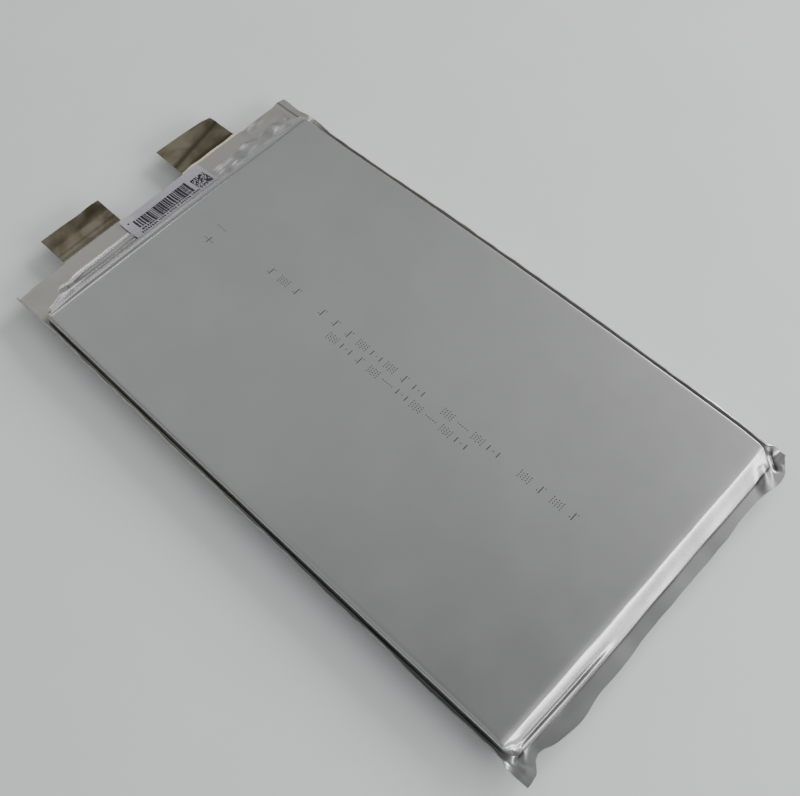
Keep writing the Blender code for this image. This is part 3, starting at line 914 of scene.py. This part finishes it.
def ink_dots():
    """The two polarity signs, and two lines of plain dot groups in place of the printed rating."""
    plus_x, plus_y = PLUS_PLACE
    minus_x, minus_y = MINUS_PLACE
    dots = [(plus_x + (row - 3) * INK_ROW, plus_y) for row in range(7)]
    for column in range(-2, 3):
        dots.append((plus_x, plus_y + column * INK_COLUMN))
        dots.append((minus_x, minus_y + column * INK_COLUMN))
    for start, middle, kinds in INK_LINES:
        for number, kind in enumerate(kinds.split()):
            for column, row in INK_CELLS[kind]:
                y = start - number * INK_CELL - column * INK_COLUMN
                dots.append((middle + (row - 3) * INK_ROW, y))
    return dots


def build_face_marks(ink):
    """Every ink-jet dot on the face: one flat disc, repeated."""
    deselect()
    bpy.ops.mesh.primitive_circle_add(vertices=8, radius=INK_DOT * MM, fill_type="NGON")
    dot = bpy.context.object
    outline = points_of(dot)[list(dot.data.polygons[0].vertices)] / MM
    bpy.data.objects.remove(dot)
    points = []
    faces = []
    for x, y in ink_dots():
        first = len(points)
        film = float(film_height(np.array(x), np.array(y)))
        middle = np.array([x, y + FACE_CENTRE_Y, film + INK_GAP + INK_DOT_THICKNESS])
        points += [tuple((middle + corner) * MM) for corner in outline]
        faces.append(tuple(range(first, len(points))))
    data = bpy.data.meshes.new("face_marks")
    data.from_pydata(points, [], faces)
    piece = new_piece("face_marks", data)
    thicken(piece, INK_DOT_THICKNESS)
    dress(piece, "aluminium_laminate", ink)
    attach(piece, "cell")


# ---------------------------------------------------------------- materials

# The lead's weld dots: their pitch, where the two rows lie past the root, and half a row's width.
WELD_PITCH = 1.15
WELD_ROWS = (0.75, 3.15)
WELD_ROW_REACH = 0.66


def colour(code):
    """An sRGB hex code as the linear colour that a shader takes."""
    parts = [int(code[place : place + 2], 16) / 255 for place in (0, 2, 4)]
    curved = [((part + 0.055) / 1.055) ** 2.4 for part in parts]
    straight = [part / 12.92 for part in parts]
    linear = [low if part <= 0.04045 else high for part, low, high in zip(parts, straight, curved)]
    return (*linear, 1.0)


def add(tree, kind, inputs=(), stops=(), **settings):
    """Adds a node with its settings, its sockets' values or links, and a ramp's colour stops."""
    made = tree.nodes.new("ShaderNode" + kind)
    for name, value in settings.items():
        setattr(made, name, value)
    for name, value in dict(inputs).items():
        if isinstance(value, bpy.types.NodeSocket):
            tree.links.new(value, made.inputs[name])
        else:
            made.inputs[name].default_value = value
    for number, (place, code) in enumerate(stops):
        if number > 1:
            made.color_ramp.elements.new(place)
        made.color_ramp.elements[number].position = place
        made.color_ramp.elements[number].color = colour(code)
    return made


def new_material(name):
    """A new material, its tree, the place on the piece, and the shader."""
    material = bpy.data.materials.new(name)
    material.use_nodes = True
    tree = material.node_tree
    place = add(tree, "TexCoord").outputs["Object"]
    return material, tree, place, tree.nodes["Principled BSDF"]


def per_mm(size):
    """The noise scale that gives features of this size in millimetres."""
    return 1 / (size * MM)


def laminate_material():
    """Cold-formed aluminium laminate under matt nylon: a soft, slightly mottled metal sheen.

    The pressed seal is a little warmer, and shade is painted dark along tight folds and in the near
    flange's gap.
    """
    material, tree, place, shader = new_material("nylon_faced_aluminium_laminate")
    shader.inputs["Metallic"].default_value = 0.92
    shader.inputs["Coat Weight"].default_value = 0.12
    shader.inputs["Coat Roughness"].default_value = 0.35
    mottle = add(tree, "TexNoise", {"Vector": place, "Scale": per_mm(22), "Detail": 3.0})
    mottle = mottle.outputs["Fac"]
    tone = add(tree, "ValToRGB", {"Fac": mottle}, [(0.3, "BDBDBD"), (0.7, "C2C2C2")])
    sealed = add(tree, "Attribute", attribute_name="sealed").outputs["Fac"]
    crease_shade = add(tree, "Attribute", attribute_name="crease_shade").outputs["Fac"]
    pressed = {0: sealed, 6: tone.outputs["Color"], 7: colour("C6C3BC")}
    pressed = add(tree, "Mix", pressed, data_type="RGBA").outputs[2]
    # Painted shade: darkens the colour along tight folds and in the near flange's gap.
    crease_shaded = {0: crease_shade, 6: pressed, 7: colour("3E3E3D")}
    crease_shaded = add(tree, "Mix", crease_shaded, data_type="RGBA").outputs[2]
    tree.links.new(crease_shaded, shader.inputs["Base Color"])
    gloss = add(tree, "MapRange", {"Value": mottle, "To Min": 0.33, "To Max": 0.38})
    tree.links.new(gloss.outputs["Result"], shader.inputs["Roughness"])
    # The nylon's own grain is finer than can be seen, so it is drawn at 0.8 mm.
    grain = add(tree, "TexNoise", {"Vector": place, "Scale": per_mm(0.8), "Detail": 2.0})
    dimples = add(tree, "TexNoise", {"Vector": place, "Scale": per_mm(9), "Detail": 2.0})
    fine = {"Height": grain.outputs["Fac"], "Strength": 0.06, "Distance": 0.05 * MM}
    fine = add(tree, "Bump", fine).outputs["Normal"]
    broad = {"Height": dimples.outputs["Fac"], "Strength": 0.08, "Distance": 0.2 * MM}
    broad = add(tree, "Bump", {**broad, "Normal": fine}).outputs["Normal"]
    tree.links.new(broad, shader.inputs["Normal"])
    return material


def cut_edge_material():
    """The sheared edge of the laminate, where the bare foil shines as a thin bright line."""
    material, tree, place, shader = new_material("sheared_foil_edge")
    shader.inputs["Metallic"].default_value = 1.0
    shader.inputs["Roughness"].default_value = 0.3
    wear = add(tree, "TexNoise", {"Vector": place, "Scale": per_mm(1.5), "Detail": 2.0})
    tone = add(tree, "ValToRGB", {"Fac": wear.outputs["Fac"]}, [(0.3, "B9B9B6"), (0.7, "E4E4E2")])
    tree.links.new(tone.outputs["Color"], shader.inputs["Base Color"])
    return material


def weld_marks(tree, place):
    """1 on the burnt dots of the lead's two welded rows, and 0 elsewhere."""
    turned = {"Vector": place, "Rotation": (0, 0, math.radians(45))}
    turned = add(tree, "Mapping", {**turned, "Scale": (per_mm(WELD_PITCH),) * 3})
    dots = {"Vector": turned.outputs["Vector"], "Randomness": 0.12}
    dots = add(tree, "TexVoronoi", dots, voronoi_dimensions="2D")
    dot = {"Value": dots.outputs["Distance"], "From Min": 0.22, "From Max": 0.36}
    dot = add(tree, "MapRange", {**dot, "To Min": 1.0, "To Max": 0.0}).outputs["Result"]
    along = add(tree, "SeparateXYZ", {"Vector": place}).outputs["Y"]
    rows = []
    for start in WELD_ROWS:
        row_y = (ROOT_END + start + FACE_CENTRE_Y) * MM
        row = add(tree, "Math", {0: along, 1: row_y, 2: WELD_ROW_REACH * MM}, operation="COMPARE")
        rows.append(row.outputs["Value"])
    either = add(tree, "Math", {0: rows[0], 1: rows[1]}, operation="ADD").outputs["Value"]
    return add(tree, "Math", {0: dot, 1: either}, operation="MULTIPLY").outputs["Value"]


def nickel_material(name, welded):
    """Rolled nickel strip: an oxidised yellow-brown metal with fine lines left by the rolls."""
    material, tree, place, shader = new_material(name)
    shader.inputs["Metallic"].default_value = 1.0
    cloud = {"Vector": place, "Scale": per_mm(11), "Detail": 4.0, "Distortion": 0.6}
    cloud = add(tree, "TexNoise", cloud).outputs["Fac"]
    stops = [(0.3, "706954"), (0.47, "918976"), (0.6, "A19A88"), (0.75, "8F8B6E")]
    tone = add(tree, "ValToRGB", {"Fac": cloud}, stops).outputs["Color"]
    # The real lines are a few hundredths of a millimetre apart; 0.35 mm is what can be seen.
    lines = {"Vector": place, "Scale": (per_mm(30), per_mm(0.35), per_mm(30))}
    lines = add(tree, "Mapping", lines).outputs["Vector"]
    rolled = add(tree, "TexNoise", {"Vector": lines, "Scale": 1.0, "Detail": 3.0}).outputs["Fac"]
    shaded = add(tree, "MapRange", {"Value": rolled, "To Min": 0.78, "To Max": 1.02})
    dull = {0: 1.0, 6: tone, 7: shaded.outputs["Result"]}
    dull = add(tree, "Mix", dull, data_type="RGBA", blend_type="MULTIPLY").outputs[2]
    # The attribute darkens the nickel: real oxide stains on the lead, and painted shade along the
    # negative tab's crease and root.
    tarnished = add(tree, "Attribute", attribute_name="tarnished").outputs["Fac"]
    finish = {0: tarnished, 6: dull, 7: colour("4A4532")}
    finish = add(tree, "Mix", finish, data_type="RGBA").outputs[2]
    if welded:
        finish = {0: weld_marks(tree, place), 6: finish, 7: colour("2A261F")}
        finish = add(tree, "Mix", finish, data_type="RGBA").outputs[2]
    tree.links.new(finish, shader.inputs["Base Color"])
    gloss = add(tree, "MapRange", {"Value": cloud, "To Min": 0.34, "To Max": 0.5})
    tree.links.new(gloss.outputs["Result"], shader.inputs["Roughness"])
    bump = add(tree, "Bump", {"Height": rolled, "Strength": 0.3, "Distance": 0.05 * MM})
    tree.links.new(bump.outputs["Normal"], shader.inputs["Normal"])
    return material


def plain_material(name, dark, light, grain, roughness, metallic=0.0):
    """A finish whose two close tones follow a fine grain, given in millimetres."""
    material, tree, place, shader = new_material(name)
    shader.inputs["Metallic"].default_value = metallic
    shader.inputs["Roughness"].default_value = roughness
    speckle = add(tree, "TexNoise", {"Vector": place, "Scale": per_mm(grain), "Detail": 3.0})
    speckle = speckle.outputs["Fac"]
    tone = add(tree, "ValToRGB", {"Fac": speckle}, [(0.35, dark), (0.65, light)])
    tree.links.new(tone.outputs["Color"], shader.inputs["Base Color"])
    bump = add(tree, "Bump", {"Height": speckle, "Strength": 0.3, "Distance": 0.02 * MM})
    tree.links.new(bump.outputs["Normal"], shader.inputs["Normal"])
    return material


def hidden_materials():
    """Finishes of the CAD pieces inside the pouch, by the name of the record's slot."""
    return {
        # Carbon-rich iron phosphate paste dried on foil: a matt near-black.
        "cathode_coating": plain_material("iron_phosphate_coating", "1B1C1E", "26272A", 0.3, 0.85),
        # Graphite paste on copper foil, rolled: dark grey with a slight sheen.
        "anode_coating": plain_material("graphite_coating", "26272B", "34363B", 0.25, 0.6),
        # Microporous polyolefin: white, matt and even.
        "separator_film": plain_material("porous_separator", "E4E5E3", "F1F1EF", 0.5, 0.55),
        # Green acrylic tape that holds the stack.
        "stack_tape": plain_material("green_stack_tape", "1F7A4C", "2A8B59", 1.0, 0.35),
        # Amber polyimide tape over the welds.
        "polyimide_tape": plain_material("polyimide_tape", "B5721C", "C98528", 1.2, 0.25),
        # Soft rolled aluminium strip: pale grey metal with a satin finish.
        "aluminium": plain_material("rolled_aluminium", "B9BABA", "CFD0D0", 0.6, 0.38, 1.0),
        # Nickel plate where it stays inside the pouch: warm grey, not yet tarnished.
        "nickel": plain_material("rolled_nickel", "9A8F7A", "ADA28D", 0.6, 0.4, 1.0),
        # Modified polypropylene film round the tabs: cream and slightly waxy.
        "sealant_polypropylene": plain_material("tab_sealant", "D3CBB2", "E2DBC6", 0.9, 0.45),
    }


# ---------------------------------------------------------------- stage, light and camera

# Soft panels: name, direction from the cell, distance and size in metres, and power in watts.
PANELS = (
    ("window", (0.95, -0.1, 0.42), 1.6, (0.9, 0.6), 20),
    ("low_panel", (0.32, -0.875, 0.36), 1.1, (1.0, 0.35), 9),
    ("far_panel", (0.08, 0.92, 0.3), 1.2, (0.4, 0.3), 1.2),
)

# The room's glow by height: dim at the horizon, brighter above it, and dark straight overhead.
ROOM_GLOW = [
    (0.1, "6D6E6E"),
    (0.7, "ACADAD"),
    (0.9, "C6C7C7"),
    (0.957, "626263"),
    (1.0, "464647"),
]

# The camera's azimuth, elevation and roll in degrees, its distance from its aim, and its lens.
CAMERA_ANGLES = (-42.1406, 61.1504, -4.6017)
CAMERA_DISTANCE = 349.653
CAMERA_AIM = (-2.841, -8.798, CELL_THICKNESS)
CAMERA_LENS = 45.588


def build_stage():
    """The floor, just below the cell so that the two never share a plane."""
    deselect()
    bpy.ops.mesh.primitive_plane_add(size=6, location=(0, 0, -0.05 * MM))
    floor = bpy.context.object
    floor.name = "floor"
    # Painted board: an even, matt near-white.
    floor.data.materials.append(plain_material("painted_board", "EDEEEF", "EFF0F1", 40, 0.8))


def area_light(name, direction, distance, size, power):
    """A soft panel that faces the middle of the cell from this direction."""
    towards = Vector(direction).normalized()
    deselect()
    bpy.ops.object.light_add(type="AREA", location=towards * distance)
    lamp = bpy.context.object
    lamp.name = name
    lamp.rotation_euler = towards.to_track_quat("Z", "Y").to_euler()
    lamp.data.shape = "RECTANGLE"
    lamp.data.size, lamp.data.size_y = size
    lamp.data.energy = power


def build_lights():
    """The panels' long reflections draw the walls and folds, and the room lights the face."""
    for name, direction, distance, size, power in PANELS:
        area_light(name, direction, distance, size, power)
    world = bpy.data.worlds.new("studio")
    bpy.context.scene.world = world
    world.use_nodes = True
    tree = world.node_tree
    sky = add(tree, "TexCoord").outputs["Generated"]
    height = add(tree, "SeparateXYZ", {"Vector": sky}).outputs["Z"]
    glow = add(tree, "ValToRGB", {"Fac": height}, ROOM_GLOW)
    tree.links.new(glow.outputs["Color"], tree.nodes["Background"].inputs["Color"])


def build_camera():
    azimuth, elevation, roll = (math.radians(angle) for angle in CAMERA_ANGLES)
    level = math.cos(elevation)
    back = Vector((math.sin(azimuth) * level, -math.cos(azimuth) * level, math.sin(elevation)))
    across = Vector((0, 0, 1)).cross(back).normalized()
    up = back.cross(across)
    rolled_across = across * math.cos(roll) + up * math.sin(roll)
    rolled_up = up * math.cos(roll) - across * math.sin(roll)
    aim = (Vector(CAMERA_AIM) + Vector((0, FACE_CENTRE_Y, 0))) * MM
    deselect()
    bpy.ops.object.camera_add()
    camera = bpy.context.object
    pose = Matrix((rolled_across, rolled_up, back)).transposed().to_4x4()
    pose.translation = aim + back * CAMERA_DISTANCE * MM
    camera.matrix_world = pose
    camera.data.lens = CAMERA_LENS
    camera.data.sensor_width = 36
    camera.data.clip_start = 0.01
    bpy.context.scene.camera = camera


def dress_hidden_pieces(finishes):
    """Gives each carried-over CAD piece the finish of its slot."""
    for cad_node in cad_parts.values():
        for slot in cad_node.material_slots:
            name = slot.material.name.split(".")[0]
            if name in finishes:
                slot.material = finishes[name]


def main():
    finishes = hidden_materials()
    dress_hidden_pieces(finishes)
    build_film(laminate_material(), cut_edge_material())
    build_negative_tab(nickel_material("tarnished_nickel_with_painted_shade", False))
    build_positive_tab(finishes["aluminium"], nickel_material("welded_nickel", True))
    build_sealant(finishes["sealant_polypropylene"])
    # Coated label paper: a cool, slightly grey white, and matt.
    build_label(plain_material("coated_label_paper", "AAA8B0", "B4B2BA", 0.8, 0.5))
    # Thermal print: an even near-black in the paper's coating.
    build_label_print(plain_material("thermal_print", "17181A", "222326", 0.5, 0.6))
    # Ink-jet dots: flat, matt and near-black.
    build_face_marks(plain_material("inkjet_dots", "1C1C1E", "262628", 0.5, 0.8))
    build_stage()
    build_lights()
    build_camera()


main()
